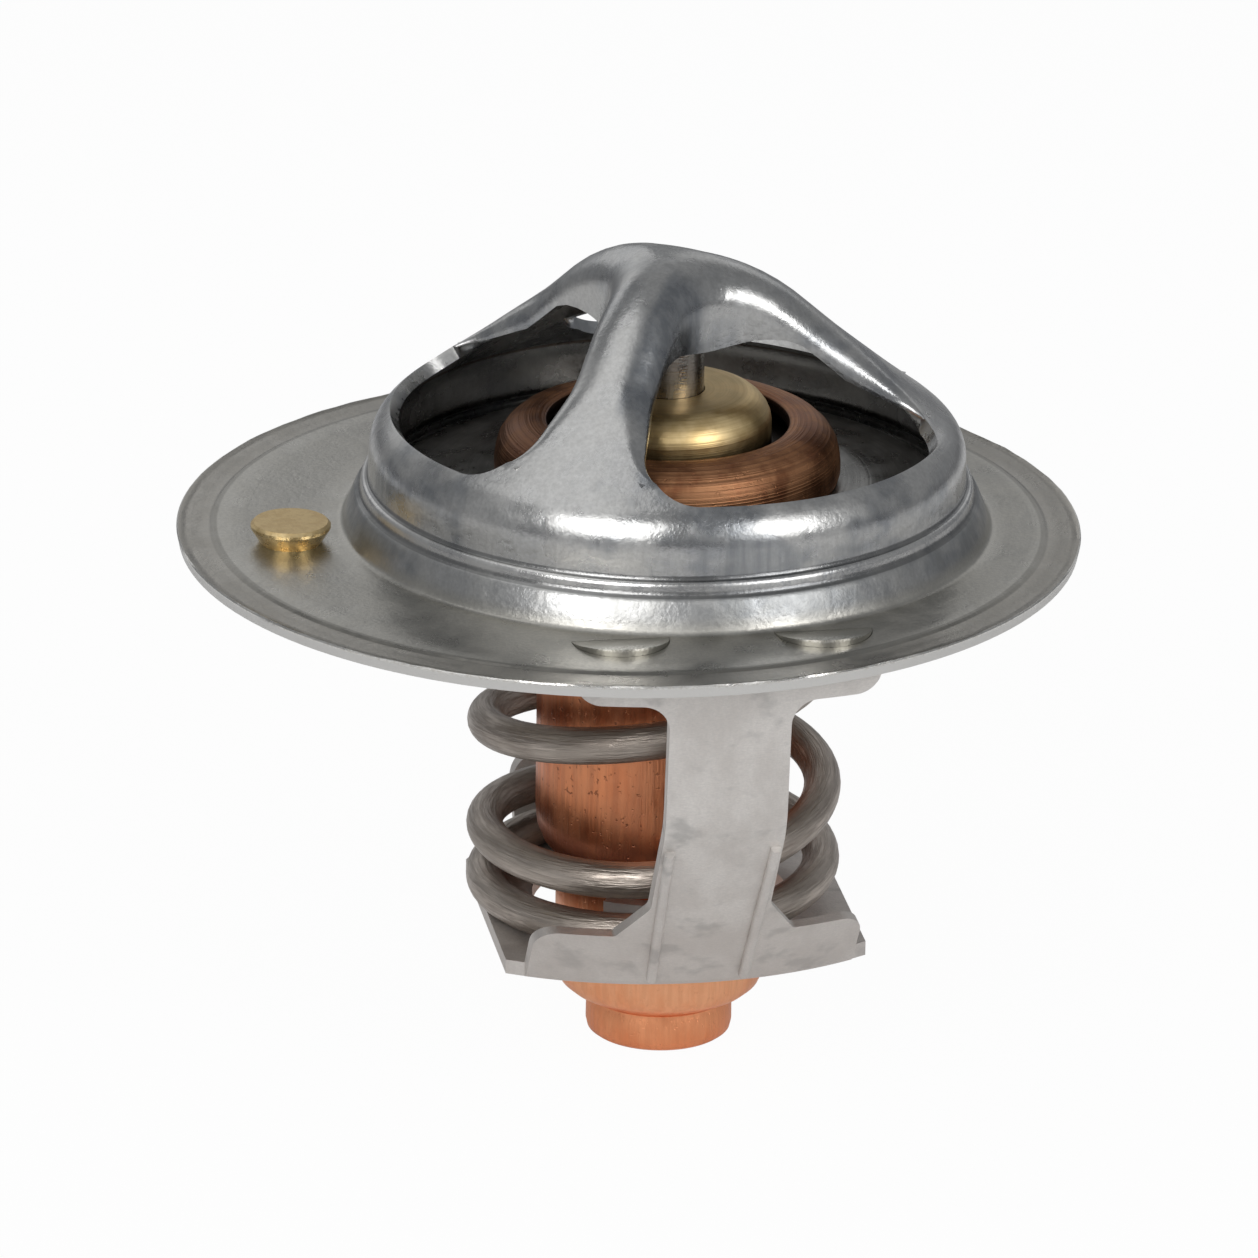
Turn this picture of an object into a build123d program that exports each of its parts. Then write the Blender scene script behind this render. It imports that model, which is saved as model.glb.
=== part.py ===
from build123d import *
import os
from math import cos, floor, hypot, radians, sin, tan

# Wax-type engine coolant thermostat. All sizes are in millimetres, +Z is up.
# The origin is the centre of the flange, on its upper face. +X points from the
# loose vent pin to the valve axis, which is not in the middle of the flange.
# A reach is measured from the valve axis, a level is a height above the origin.

# Flange and bridge, one stamping
flange_diameter = 52.0
flange_sheet = 0.8
rim_band = 2.0
rim_step = 0.12
valve_offset = 2.2
hub_height = 16.4
hub_radius = 12.0
strut_slope = 40.0
ring_wall_radius = 17.15
ring_shoulder_bend = 2.5
ring_foot_height = 1.75
ledge_width = 1.5
ledge_drop = 0.75
ring_base_width = 0.3
ring_bend = 0.45
strut_count = 3
strut_spread = 13.8
strut_waist = 2.1
window_radius = 15.95
window_corner = 2.8
window_knee = 6.0
window_apex = 5.5
skirt_level = 11.4
crest_bend = 1.5

# Loose vent pin
vent_reach = 21.9
vent_hole_diameter = 2.7
vent_shank_diameter = 2.0
vent_head_diameter = 4.6
vent_head_height = 1.24
vent_head_edge = 0.35
vent_seat_diameter = 3.5
vent_travel = 1.2
vent_tail_diameter = 3.6
vent_tail_height = 1.3

# Stirrup under the flange, one folded strip
stirrup_sheet = 0.85
stirrup_turn = -1.8
stirrup_reach = 22.6
stirrup_bend = 1.2
knee_reach = 21.4
knee_level = -10.8
knee_bend = 5.0
base_reach = 12.2
base_level = -23.1
base_bend = 1.2
base_width = 21.0
base_plan_radius = 21.2
base_edge_inset = 0.4
foot_width = 17.4
foot_inner_reach = 18.4
foot_lip = 2.0
leg_width = 6.9
leg_fillet = 1.5
leg_flare_width = 1.7
leg_flare_height = 2.4
leg_flare_bend = 0.8
wall_notch_bend = 0.3
wall_width = 19.0
back_wall_width = 13.8
back_corner_start = 6.4
wall_height = 3.5
wall_corner = 1.4
rib_radius = 0.3
rib_top_spacing = 6.2
rib_foot_spacing = 5.3
rib_start = 0.12
rib_end = 0.94
clinch_radius = 2.75
clinch_spacing = 11.5
clinch_reach = 18.6
clinch_lip = 0.45
clinch_recess = 0.45
clinch_gap = 0.03
cup_hole_clearance = 0.13
tongue_height = 2.5
tongue_angle = 22.0
tongue_spread = 22.0

# Spring, with its rise in each quarter turn from the base up; the last quarter takes the rest
wire_diameter = 2.25
spring_mean_radius = 9.8
spring_side_shift = 0.5
spring_start_angle = 78.5
spring_seat_gap = 0.03
spring_rises = (0.03, 0.38, 0.92, 0.97, 0.93, 0.40, 2.30, 1.85, 1.85,
                2.55, 1.85, 2.05, 2.05, 1.90, 0.90, 0.60, 0.50)

# Wax cup and what it holds
cup_wall = 0.8
cup_head_radius = 10.15
cup_head_bottom = 2.75
cup_head_side = 1.5
cup_head_top = 6.2
cup_crimp_radius = 8.9
cup_crimp_drop = 0.3
crimp_hole_radius = 7.2
cup_body_radius = 7.35
cup_body_bottom = -19.3
cup_shoulder = 1.1
cup_lower_radius = 6.05
cup_round_start = -27.7
cup_round_end = -29.8
cup_nose_radius = 4.3
cup_bottom = -31.5
cup_bends = (1.4, 1.0, 0.3, 0.1, 1.5, 0.6, 2.4, 0.3, 0.7)
tightest_bend = 0.05
guide_top = 8.3
guide_flat_radius = 5.0
guide_radius = 6.1
guide_bevel = 1.6
pin_diameter = 4.1
pin_clearance = 0.05
pin_bottom = -16.8
pin_tip_length = 2.2
pin_tip_diameter = 2.2
pin_hub_gap = 0.05
boot_wall = 1.5
boot_flange = 0.6
seal_height = 1.0
seal_width = 1.1
fill_gap = 0.05

# Valve disc
disc_sheet = 0.8
disc_flat_radius = 11.3
disc_edge_level = 2.05
disc_bore_clearance = 0.08
disc_seat_clearance = 0.04
disc_rim_radius = 17.6
disc_hole_clearance = 0.15
disc_bends = (4.0, 0.5, 0.1)

os.makedirs("parts", exist_ok=True)

bridge_slope = radians(strut_slope)
pin_radius = pin_diameter / 2
pin_bore_radius = pin_radius + pin_clearance
boot_bottom_level = cup_head_bottom + cup_wall
boot_top_level = boot_bottom_level + boot_flange
base_underside = base_level - stirrup_sheet
far = 2 * flange_diameter
flat = 0.01
crest_reach = window_radius + flat
standing = (Align.CENTER, Align.CENTER, Align.MIN)
at_valve = Pos(valve_offset, 0, 0)
at_stirrup = at_valve * Rot(0, 0, stirrup_turn)
at_spring = at_valve * Pos(-spring_side_shift, 0, 0)
cup_hole_radius = cup_body_radius + cup_hole_clearance


def turned(*outline):
    """A solid turned about the Z axis from a closed outline drawn in (radius, height)."""
    with BuildPart() as body:
        with BuildSketch(Plane.XZ):
            with BuildLine():
                add(list(outline))
            make_face()
        revolve(axis=Axis.Z)
    return body.part


def inner_side(start, end):
    """Unit vector to the right-hand side of the run from start to end."""
    run = Vector(end[0] - start[0], end[1] - start[1]).normalized()
    return Vector(run.Y, -run.X)


def inset_corners(corners, inset):
    """The same line of corners, moved to its right-hand side by the inset."""
    moved = []
    last = len(corners) - 1
    for index, corner in enumerate(corners):
        behind = inner_side(corners[max(index - 1, 0)], corners[max(index, 1)])
        ahead = inner_side(corners[min(index, last - 1)], corners[min(index + 1, last)])
        step = (behind + ahead) * (inset / (1 + behind.dot(ahead)))
        moved.append((corner[0] + step.X, corner[1] + step.Y))
    return moved


def bent_line(corners, bends, inset):
    """The line of corners moved right by the inset, each bend keeping its centre."""
    moved = inset_corners(corners, inset)
    radii = []
    for index, bend in enumerate(bends):
        before, here, after = corners[index:index + 3]
        turn = inner_side(before, here).cross(inner_side(here, after)).Z
        radii.append(max(bend - inset, tightest_bend) if turn < 0 else bend + inset)
    return FilletPolyline(*moved, radius=radii)


def sheet_outline(corners, bends, thickness):
    """Closed outline of a bent sheet: the line of corners and its right-hand side."""
    outside = bent_line(corners, bends, 0)
    inside = bent_line(corners, bends, thickness)
    return [outside, Line(outside @ 1, inside @ 1), inside, Line(inside @ 0, outside @ 0)]


def bridge_corners():
    """Corners of the bridge's outer profile, from the end of the hub's arc to the flange."""
    tangent_radius = hub_radius * sin(bridge_slope)
    tangent_height = hub_height - hub_radius * (1 - cos(bridge_slope))
    shoulder_height = tangent_height - (ring_wall_radius - tangent_radius) * tan(bridge_slope)
    ledge_radius = ring_wall_radius + ledge_width
    ledge_height = ring_foot_height - ledge_drop
    base_slope = ring_base_width / ledge_height
    return [
        (tangent_radius, tangent_height),
        (ring_wall_radius, shoulder_height),
        (ring_wall_radius, ring_foot_height),
        (ledge_radius, ledge_height),
        (ledge_radius + base_slope * (ledge_height + 2 * flange_sheet), -2 * flange_sheet),
    ]


def bridge_body(inset):
    """The bridge as a filled body, its surface set in by the given distance."""
    wall = bent_line(bridge_corners(), [ring_shoulder_bend, ring_bend, 2 * ring_bend + flange_sheet], inset)
    top = hub_height - inset
    arc = JernArc((0, top), (1, 0), hub_radius - inset, -strut_slope)
    foot = wall @ 1
    floor_line = Polyline(foot, (0, foot.Y), (0, top))
    return turned(arc, wall, floor_line)


def window_prism(growth):
    """One window between two struts, cut straight down, its bisector along +X."""
    half_turn = radians(180 / strut_count)
    wall_angle = half_turn - radians(strut_spread)
    knee = strut_waist / sin(radians(strut_spread))
    sides = FilletPolyline(
        (window_radius * cos(wall_angle), window_radius * sin(wall_angle)),
        (knee * cos(wall_angle), knee * sin(wall_angle)),
        (strut_waist / sin(half_turn), 0),
        (knee * cos(wall_angle), -knee * sin(wall_angle)),
        (window_radius * cos(wall_angle), -window_radius * sin(wall_angle)),
        radius=[window_knee, window_apex, window_knee],
    )
    plan = make_face([sides, ThreePointArc(sides @ 1, (window_radius, 0), sides @ 0)])
    plan = fillet(plan.vertices().sort_by(Axis.X)[-2:], window_corner)
    outline = offset(plan, growth) if growth else plan
    return Pos(0, 0, -far / 2) * extrude(outline, far)


def with_windows(body, growth):
    """The body with the windows between its struts cut away."""
    prism = window_prism(growth)
    for index in range(strut_count):
        body -= Rot(0, 0, (index + 0.5) * 360 / strut_count) * prism
    return body


def crest_edges(body, lowest):
    """Edges where the walls of the windows meet the crown, above the given level."""
    walls = [face for face in body.faces() if abs(face.normal_at().Z) < flat]
    rims = [edge for wall in walls for edge in wall.edges() if abs((edge % 0.5).Z) < 1 - flat]
    middles = [(edge, edge @ 0.5) for edge in rims]
    return [edge for edge, middle in middles if middle.Z > lowest and hypot(middle.X, middle.Y) < crest_reach]


def flange_plate():
    """Round plate with its outer band pressed down by a small step."""
    radius = flange_diameter / 2
    step_radius = radius - rim_band
    upper = Polyline((0, 0), (step_radius - rim_step, 0), (step_radius + rim_step, -rim_step), (radius, -rim_step))
    lower = Pos(0, -flange_sheet) * upper
    return turned(upper, Line(upper @ 1, lower @ 1), lower, Line(lower @ 0, upper @ 0))


def flange_bridge():
    """Flange with the pressed bridge: ring, three gutter-shaped struts and hub."""
    crown = with_windows(bridge_body(0), 0)
    crown = fillet(crest_edges(crown, hub_height - hub_radius), crest_bend)
    hollow = bridge_body(flange_sheet)
    above_skirt = Pos(0, 0, skirt_level + far / 2) * Box(far, far, far)
    arch = with_windows(hollow & above_skirt, flange_sheet)
    arch = fillet(crest_edges(arch, skirt_level + flange_sheet), crest_bend - flange_sheet)
    inside = Cylinder(window_radius, far)
    ring = bridge_body(0) - hollow - inside
    bridge = (crown - (hollow - above_skirt) - arch & inside) + ring
    clip = Pos(0, 0, far / 2 - flange_sheet) * Box(far, far, far)
    plate = flange_plate() - at_valve * Cylinder(bridge_corners()[3][0], 3 * flange_sheet)
    body = plate + at_valve * (bridge & clip)
    body -= Pos(valve_offset - vent_reach, 0, 0) * Cylinder(vent_hole_diameter / 2, 3 * flange_sheet)
    for place in clinch_places():
        body -= place * extrude(clinch_plan(clinch_gap), flange_sheet + clinch_lip, both=True)
    return body


def clinch_places():
    """The four clinches, two in each foot, each with its round side outwards."""
    return [
        at_stirrup * Rot(0, 0, side) * Pos(step * clinch_spacing / 2, -clinch_reach, 0)
        for side in (0, 180)
        for step in (-1, 1)
    ]


def clinch_plan(growth):
    """Half-round outline of a clinch, grown on all sides by the gap."""
    radius = clinch_radius + growth
    half = Pos(0, growth - radius, 0) * Rectangle(2 * radius, 2 * radius)
    return Circle(radius) & half


def clinch_stud():
    """Metal of the foot pushed up through the flange, its round side standing proud."""
    stud = Pos(0, 0, -flange_sheet - stirrup_sheet / 2) * extrude(clinch_plan(0), far)
    slope = Plane.YZ * Polyline((0, -far), (0, 0), (-clinch_radius, clinch_lip), (-clinch_radius, -far), (0, -far))
    return stud & extrude(make_face(slope), clinch_radius, both=True)


def stirrup_strip(end_wall_width):
    """Foot, leg and end wall of the stirrup at -Y, bent from one strip that is curved in plan."""
    plan_centre = base_plan_radius - base_reach
    corners = [
        (foot_inner_reach / 2, -flange_sheet),
        (stirrup_reach, -flange_sheet),
        (knee_reach, knee_level),
        (base_reach, base_underside),
        (base_reach / 2, base_underside),
    ]
    shifted = [(reach + plan_centre, level) for reach, level in corners]
    strip = turned(*sheet_outline(shifted, [stirrup_bend, knee_bend, base_bend], stirrup_sheet))
    front = extrude(Plane.XZ * strip_outline(end_wall_width), far)
    strip = Pos(0, plan_centre, 0) * strip & front
    strip -= Pos(0, 0, -flange_sheet) * Cylinder(foot_inner_reach, 3 * stirrup_sheet)
    return strip + stirrup_rib(-1) + stirrup_rib(1)


def strip_outline(end_wall_width):
    """Front view of one foot, leg and end wall, as (x, z)."""
    lip_level = -flange_sheet - foot_lip
    wall_level = base_level + wall_height
    half = [
        (foot_width / 2, 0),
        (foot_width / 2, lip_level),
        (leg_width / 2, lip_level),
        (leg_width / 2, wall_level + leg_flare_height),
        (leg_width / 2 + leg_flare_width, wall_level),
        (end_wall_width / 2, wall_level),
        (end_wall_width / 2, 2 * base_level),
    ]
    mirrored = [(-x, z) for x, z in reversed(half)]
    bends = [leg_fillet, leg_fillet, leg_flare_bend, wall_notch_bend, wall_corner]
    right = FilletPolyline(*half, radius=bends)
    left = FilletPolyline(*mirrored, radius=bends[::-1])
    return make_face([right, Line(right @ 1, left @ 0), left, Line(left @ 1, right @ 0)])


def stirrup_rib(side):
    """Stiffening rib pressed along the sloping half of the leg."""
    top = Vector(side * rib_top_spacing / 2, -knee_reach, knee_level)
    foot = Vector(side * rib_foot_spacing / 2, -base_reach, base_underside)
    run = foot - top
    start = top + run * rib_start
    path = Line(start, top + run * rib_end)
    return sweep(Plane(origin=start, z_dir=run) * Circle(rib_radius), path)


def stirrup():
    """Base plate with a hole for the cup, and the two folded strips that carry it."""
    edge_radius = base_plan_radius - base_edge_inset
    plan_centre = base_plan_radius - base_reach
    plate = Rectangle(base_width, far)
    for side in (-1, 1):
        plate &= Pos(0, side * plan_centre) * Circle(edge_radius)
    corner_cut = Polyline(
        (base_width / 2, -far),
        (base_width / 2, back_corner_start),
        (back_wall_width / 2, base_reach),
        (-back_wall_width / 2, base_reach),
        (-base_width / 2, back_corner_start),
        (-base_width / 2, -far),
        (base_width / 2, -far),
    )
    plate &= make_face(corner_cut)
    body = Pos(0, 0, base_underside) * extrude(plate, stirrup_sheet)
    body = body + stirrup_strip(wall_width) + Rot(0, 0, 180) * stirrup_strip(back_wall_width)
    body -= Pos(0, 0, base_level) * Cylinder(cup_hole_radius, 3 * stirrup_sheet)
    for index in range(4):
        side = 90 if index % 2 else -90
        turn = tongue_angle if index < 2 else -tongue_angle
        body += Rot(0, 0, side + turn) * locating_tongue()
    body = at_stirrup * body
    for place in clinch_places():
        body += place * clinch_stud()
        recess = extrude(clinch_plan(-clinch_gap), clinch_recess)
        body -= place * Pos(0, 0, -flange_sheet - stirrup_sheet) * recess
    return body


def locating_tongue():
    """Tongue turned up at the edge of the hole, which keeps the spring central."""
    ring = Circle(cup_hole_radius + stirrup_sheet) - Circle(cup_hole_radius)
    reach = 2 * cup_hole_radius
    half_width = reach * tan(radians(tongue_spread / 2))
    wedge = make_face(Polyline((0, 0), (reach, -half_width), (reach, half_width), (0, 0)))
    return Pos(0, 0, base_underside) * extrude(ring & wedge, stirrup_sheet + tongue_height)


def vent_pin():
    """Loose pin through the flange, its head resting on the flange."""
    shank = vent_shank_diameter / 2
    tail_top = -flange_sheet - vent_travel
    head_radius = vent_head_diameter / 2
    seat = vent_seat_diameter / 2
    tail_radius = vent_tail_diameter / 2
    tail_bottom = tail_top - vent_tail_height
    outline = Polyline(
        (0, vent_head_height),
        (head_radius - vent_head_edge / 2, vent_head_height),
        (head_radius, vent_head_height - vent_head_edge / 2),
        (head_radius, vent_head_height - vent_head_edge),
        (seat, 0),
        (shank, 0),
        (shank, tail_top),
        (tail_radius, tail_top),
        (tail_radius, tail_top - vent_head_edge),
        (shank, tail_bottom),
        (0, tail_bottom),
        (0, vent_head_height),
    )
    return Pos(valve_offset - vent_reach, 0, 0) * turned(outline)


def pin_body(growth):
    """The piston's cylinder with its tapered tip, grown on all sides by the clearance."""
    radius = pin_radius + growth
    tip_radius = pin_tip_diameter / 2 + growth
    bottom = pin_bottom - growth
    return turned(Polyline(
        (0, hub_height),
        (radius, hub_height),
        (radius, pin_bottom + pin_tip_length),
        (tip_radius, bottom),
        (0, bottom),
        (0, hub_height),
    ))


def piston_pin():
    """Steel piston, held by the hub of the bridge and fitted to its hollow."""
    under_hub = Pos(0, 0, hub_height - hub_radius) * Sphere(hub_radius - flange_sheet - pin_hub_gap)
    below = Pos(0, 0, hub_height - hub_radius - far / 2) * Box(far, far, far)
    return at_valve * (pin_body(0) & (under_hub + below))


def cup_body(inset):
    """The cup as a filled body, its surface set in by the given distance."""
    corners = [
        (crimp_hole_radius, cup_head_top),
        (cup_crimp_radius, cup_head_top - cup_crimp_drop),
        (cup_head_radius, cup_head_bottom + cup_head_side),
        (cup_head_radius, cup_head_bottom),
        (cup_body_radius, cup_head_bottom),
        (cup_body_radius, cup_body_bottom),
        (cup_lower_radius, cup_body_bottom - cup_shoulder),
        (cup_lower_radius, cup_round_start),
        (cup_nose_radius, cup_round_end),
        (cup_nose_radius, cup_bottom),
        (0, cup_bottom),
    ]
    wall = bent_line(corners, cup_bends, inset)
    return turned(wall, Polyline(wall @ 1, (0, (wall @ 0).Y), wall @ 0))


def wax_cup():
    """Copper cup, its head rolled over the flange of the guide."""
    opening = Pos(0, 0, cup_head_top) * Cylinder(crimp_hole_radius, 4 * cup_wall)
    return at_valve * (cup_body(0) - cup_body(cup_wall) - opening)


def cavity_slice(bottom, top):
    """The cup's hollow between two levels, less the gap that is left at its wall."""
    slab = Pos(0, 0, (bottom + top) / 2) * Box(far, far, top - bottom)
    return cup_body(cup_wall + fill_gap) & slab


def guide_sleeve():
    """Brass guide that the piston slides through, its flange held by the rolled head."""
    neck = turned(Polyline(
        (0, guide_top),
        (guide_flat_radius, guide_top),
        (guide_radius, guide_top - guide_bevel),
        (guide_radius, boot_top_level),
        (0, boot_top_level),
        (0, guide_top),
    ))
    body = neck + cavity_slice(boot_top_level, cup_head_top)
    body -= Cylinder(pin_bore_radius, far)
    pocket = Cylinder(pin_bore_radius + seal_width + fill_gap, seal_height + fill_gap, align=standing)
    return at_valve * (body - Pos(0, 0, boot_top_level) * pocket)


def pin_seal():
    """Seal ring round the piston, in a pocket under the guide."""
    ring = Cylinder(pin_bore_radius + seal_width, seal_height, align=standing)
    return at_valve * Pos(0, 0, boot_top_level) * (ring - Cylinder(pin_bore_radius, far))


def boot_body(growth):
    """The boot's finger round the piston, grown by the gap, without its bore."""
    finger = pin_body(pin_clearance + boot_wall + growth)
    return finger - Pos(0, 0, boot_top_level) * Box(far, far, far, align=standing)


def rubber_boot():
    """Rubber finger that the wax squeezes, with a flange held under the guide."""
    flange = cavity_slice(boot_bottom_level, boot_top_level)
    return at_valve * (boot_body(0) + flange - pin_body(pin_clearance))


def wax_charge():
    """Wax that fills the cup round the rubber boot."""
    body = cavity_slice(cup_bottom, boot_bottom_level - fill_gap)
    return at_valve * (body - boot_body(fill_gap))


def valve_disc():
    """Dished steel disc that seats in the ring of the bridge."""
    seat = inset_corners(bridge_corners(), flange_sheet + disc_seat_clearance)
    slope = (seat[3][1] - seat[2][1]) / (seat[3][0] - seat[2][0])
    bore = ring_wall_radius - flange_sheet - disc_bore_clearance
    corners = [
        (cup_body_radius + disc_hole_clearance, cup_head_bottom),
        (disc_flat_radius, cup_head_bottom),
        (bore, disc_edge_level),
        (bore, seat[2][1] + slope * (bore - seat[2][0])),
        (disc_rim_radius, seat[2][1] + slope * (disc_rim_radius - seat[2][0])),
    ]
    return at_valve * turned(*sheet_outline(corners, disc_bends, disc_sheet))


def coil_levels():
    """Levels of the wire's centre line at each quarter turn, from the base to the disc."""
    levels = [base_level + wire_diameter / 2 + spring_seat_gap]
    for rise in spring_rises:
        levels.append(levels[-1] + rise)
    levels.append(cup_head_bottom - disc_sheet - wire_diameter / 2 - spring_seat_gap)
    return levels


def coil_point(quarter, levels):
    """Point on the wire's centre line, so many quarter turns from its lower end."""
    last = len(levels) - 1
    index = min(floor(quarter), last - 1)
    part = quarter - index
    low, high = levels[index], levels[index + 1]
    entry = (high - levels[max(index - 1, 0)]) / 2
    leave = (levels[min(index + 2, last)] - low) / 2
    smooth = part * part * (3 - 2 * part)
    bulge = part * (1 - part) * ((1 - part) * entry - part * leave)
    level = low + smooth * (high - low) + bulge
    angle = radians(spring_start_angle + 90 * quarter)
    return Vector(spring_mean_radius * cos(angle), spring_mean_radius * sin(angle), level)


def main_spring():
    """Spring between the stirrup's base and the valve disc, closed at its upper end."""
    levels = coil_levels()
    steps = 4
    count = steps * (len(levels) - 1)
    wire = Spline([coil_point(index / steps, levels) for index in range(count + 1)])
    section = Plane(origin=wire @ 0, z_dir=wire % 0) * Circle(wire_diameter / 2)
    return at_spring * sweep(section, wire, is_frenet=True)


pieces = {
    "flange_bridge": flange_bridge,
    "stirrup": stirrup,
    "main_spring": main_spring,
    "piston_pin": piston_pin,
    "wax_cup": wax_cup,
    "guide_sleeve": guide_sleeve,
    "pin_seal": pin_seal,
    "rubber_boot": rubber_boot,
    "wax_charge": wax_charge,
    "valve_disc": valve_disc,
    "vent_pin": vent_pin,
}

for name, make in pieces.items():
    export_step(make(), f"parts/{name}.step")
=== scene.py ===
import bpy
import random
from math import asin, atan2, cos, floor, pi, radians, sin, tan, tau
from mathutils import Matrix, Vector


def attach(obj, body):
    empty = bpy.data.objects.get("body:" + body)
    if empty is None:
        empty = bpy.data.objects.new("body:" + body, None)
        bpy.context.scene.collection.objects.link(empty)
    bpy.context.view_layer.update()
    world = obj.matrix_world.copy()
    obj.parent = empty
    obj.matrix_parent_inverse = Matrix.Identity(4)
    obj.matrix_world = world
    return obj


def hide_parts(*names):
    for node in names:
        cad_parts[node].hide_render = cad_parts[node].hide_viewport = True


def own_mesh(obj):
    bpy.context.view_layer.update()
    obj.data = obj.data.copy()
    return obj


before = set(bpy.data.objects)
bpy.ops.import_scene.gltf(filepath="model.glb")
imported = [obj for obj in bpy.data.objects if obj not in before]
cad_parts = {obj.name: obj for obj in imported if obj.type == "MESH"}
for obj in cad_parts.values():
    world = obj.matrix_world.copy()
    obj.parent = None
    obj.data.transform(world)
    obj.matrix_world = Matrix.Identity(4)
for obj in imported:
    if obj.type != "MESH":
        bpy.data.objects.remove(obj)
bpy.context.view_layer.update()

# The viewpoint: a long lens a little above the flange, turned so that the front
# leg stands right of the middle.
bpy.ops.object.select_all(action="DESELECT")
bpy.ops.object.camera_add()
camera = bpy.context.object
camera.name = "camera"
camera.data.sensor_width = 36
camera.data.lens = 298.6
camera.data.clip_start = 0.01
camera.data.clip_end = 10
facing = Matrix.Rotation(radians(-11.5), 4, "Z") @ Matrix.Rotation(radians(90 - 20.9), 4, "X")
facing = facing @ Matrix.Rotation(radians(0.84), 4, "Z")
camera.matrix_world = facing @ Matrix.Translation((0.0000115, -0.006136, 0.6))
bpy.context.scene.camera = camera
bpy.context.scene.view_settings.view_transform = "Standard"


# Flange and bridge: one stamping of stainless sheet, 0.8 mm thick. The ring with its two
# beads, the three gutter-shaped struts and the hub are drawn up from it in one go, which
# leaves blue-grey bruises, polished crests and a bright sheared edge. Painted shade lies
# along one flank of the front strut, inside the ring, in the bead's creases and on the
# window's cut faces, and a painted highlight runs along the bead.
valve_offset = 2.2
sheet_thickness = 0.8
hub_height = 16.4
hub_radius = 12.0
hub_slope = radians(40)
strut_half = 2.35
strut_spread = radians(14.6)
strut_turn = radians(-1.7)
window_radius = 15.95
ring_start = 16.077
knee_bend = 6.0
apex_bend = 5.5
corner_bend = 2.8
crest_drop = 1.8
skirt = 11.35
ring_foot = 19.0
band_radius = 23.86
rim_start = 25.3
flange_radius = 26.0
vent_reach = 19.7
vent_hole_radius = 1.35
clinch_hole_radius = 2.78
clinch_gap = 0.03
clinch_half_spacing = 5.75
clinch_reach = 18.6
stirrup_turn = -1.8
first_plate_row = 30


def polar(radius, angle):
    return Vector((radius * cos(angle), radius * sin(angle)))


def crown_height(radius):
    """Height of the domed hub and of the slope below it, before the crests are rounded."""
    tangent = hub_radius * sin(hub_slope)
    if radius < tangent:
        return hub_height - hub_radius + (hub_radius ** 2 - radius ** 2) ** 0.5
    foot = hub_height - hub_radius * (1 - cos(hub_slope))
    return foot - (radius - tangent) * tan(hub_slope)


def half_sector():
    """Rows from a window's rim to the middle of a strut, or to the ring: rim, end, fullness."""
    rows = []
    apex_centre = polar((strut_half + apex_bend) / sin(pi / 3), pi / 3)
    for step in range(9):
        rim = apex_centre + polar(apex_bend, radians(-120 + 30 * step / 8))
        rows.append((rim, Vector((apex_centre.x * step / 8, 0)), 1.0))
    knee_start = strut_half / tan(strut_spread) - knee_bend * tan(strut_spread / 2)
    for step in range(1, 5):
        reach = apex_centre.x + (knee_start - apex_centre.x) * step / 4
        rows.append((Vector((reach, strut_half)), Vector((reach, 0)), 1.0))
    knee_centre = Vector((knee_start, strut_half + knee_bend))
    for step in range(1, 4):
        rim = knee_centre + polar(knee_bend, strut_spread * step / 3 - pi / 2)
        rows.append((rim, Vector((rim.x, 0)), 1.0))
    knee_end = rows[-1][0].length
    corner_reach = window_radius - corner_bend
    corner_angle = strut_spread + asin(corner_bend / corner_reach)
    corner_start = corner_reach * cos(corner_angle - strut_spread)
    for step in range(1, 7):
        rim = polar(knee_end + (corner_start - knee_end) * step / 6, strut_spread)
        rows.append((rim, Vector((rim.x, 0)), 1 - 0.5 * step / 6))
    straight = rows[-1][1].x
    corner_centre = polar(corner_reach, corner_angle)
    sweep = corner_angle - strut_spread + pi / 2
    for step in range(1, 17):
        rim = corner_centre + polar(corner_bend, strut_spread - pi / 2 + sweep * step / 16)
        fade = 1 - step / 8 if step < 7 else 0.0
        if step <= 5:
            end = Vector((straight + (ring_start - straight) * step / 5, 0))
        else:
            end = polar(ring_start, corner_angle * (step - 5) / 11)
        rows.append((rim, end, 0.5 * fade))
    for step in range(1, 15):
        angle = corner_angle + (pi / 3 - corner_angle) * step / 14
        rows.append((polar(window_radius, angle), polar(ring_start, angle), 0.0))
    return rows


def grid(name, lines):
    """A primitive grid whose points are moved onto the given lines of points."""
    bpy.ops.object.select_all(action="DESELECT")
    bpy.ops.mesh.primitive_grid_add(x_subdivisions=len(lines[0]) - 1, y_subdivisions=len(lines) - 1, size=1)
    made = bpy.context.object
    made.name = name
    points = [point for line in lines for point in line]
    for vertex, point in zip(made.data.vertices, points):
        vertex.co = Vector(point) / 1000
    return made


rows = half_sector()
crown_lines = []
for rim, end, fullness in rows:
    run = end - rim
    width = min(0.88 * run.length, 2.5) * fullness
    drop = crest_drop * fullness
    top = crown_height(rim.length)
    along = (rim.length - 3.3) / 6
    wave = 0.75 * sin(pi * along) - 0.4 * along
    foot = min(skirt + wave, top - drop - 0.3 * fullness)
    if fullness == 0:
        foot = top
    line = [(*rim, foot + (top - drop - foot) * step / 4) for step in range(4)]
    for step in range(9):
        angle = step / 8 * pi / 2
        spot = rim + run.normalized() * width * (1 - cos(angle))
        line.append((*spot, crown_height(spot.length) - drop * (1 - sin(angle))))
    for step in range(1, 7):
        spot = rim + run.normalized() * (width + (run.length - width) * step / 6)
        line.append((*spot, crown_height(spot.length)))
    crown_lines.append(line)

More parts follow.
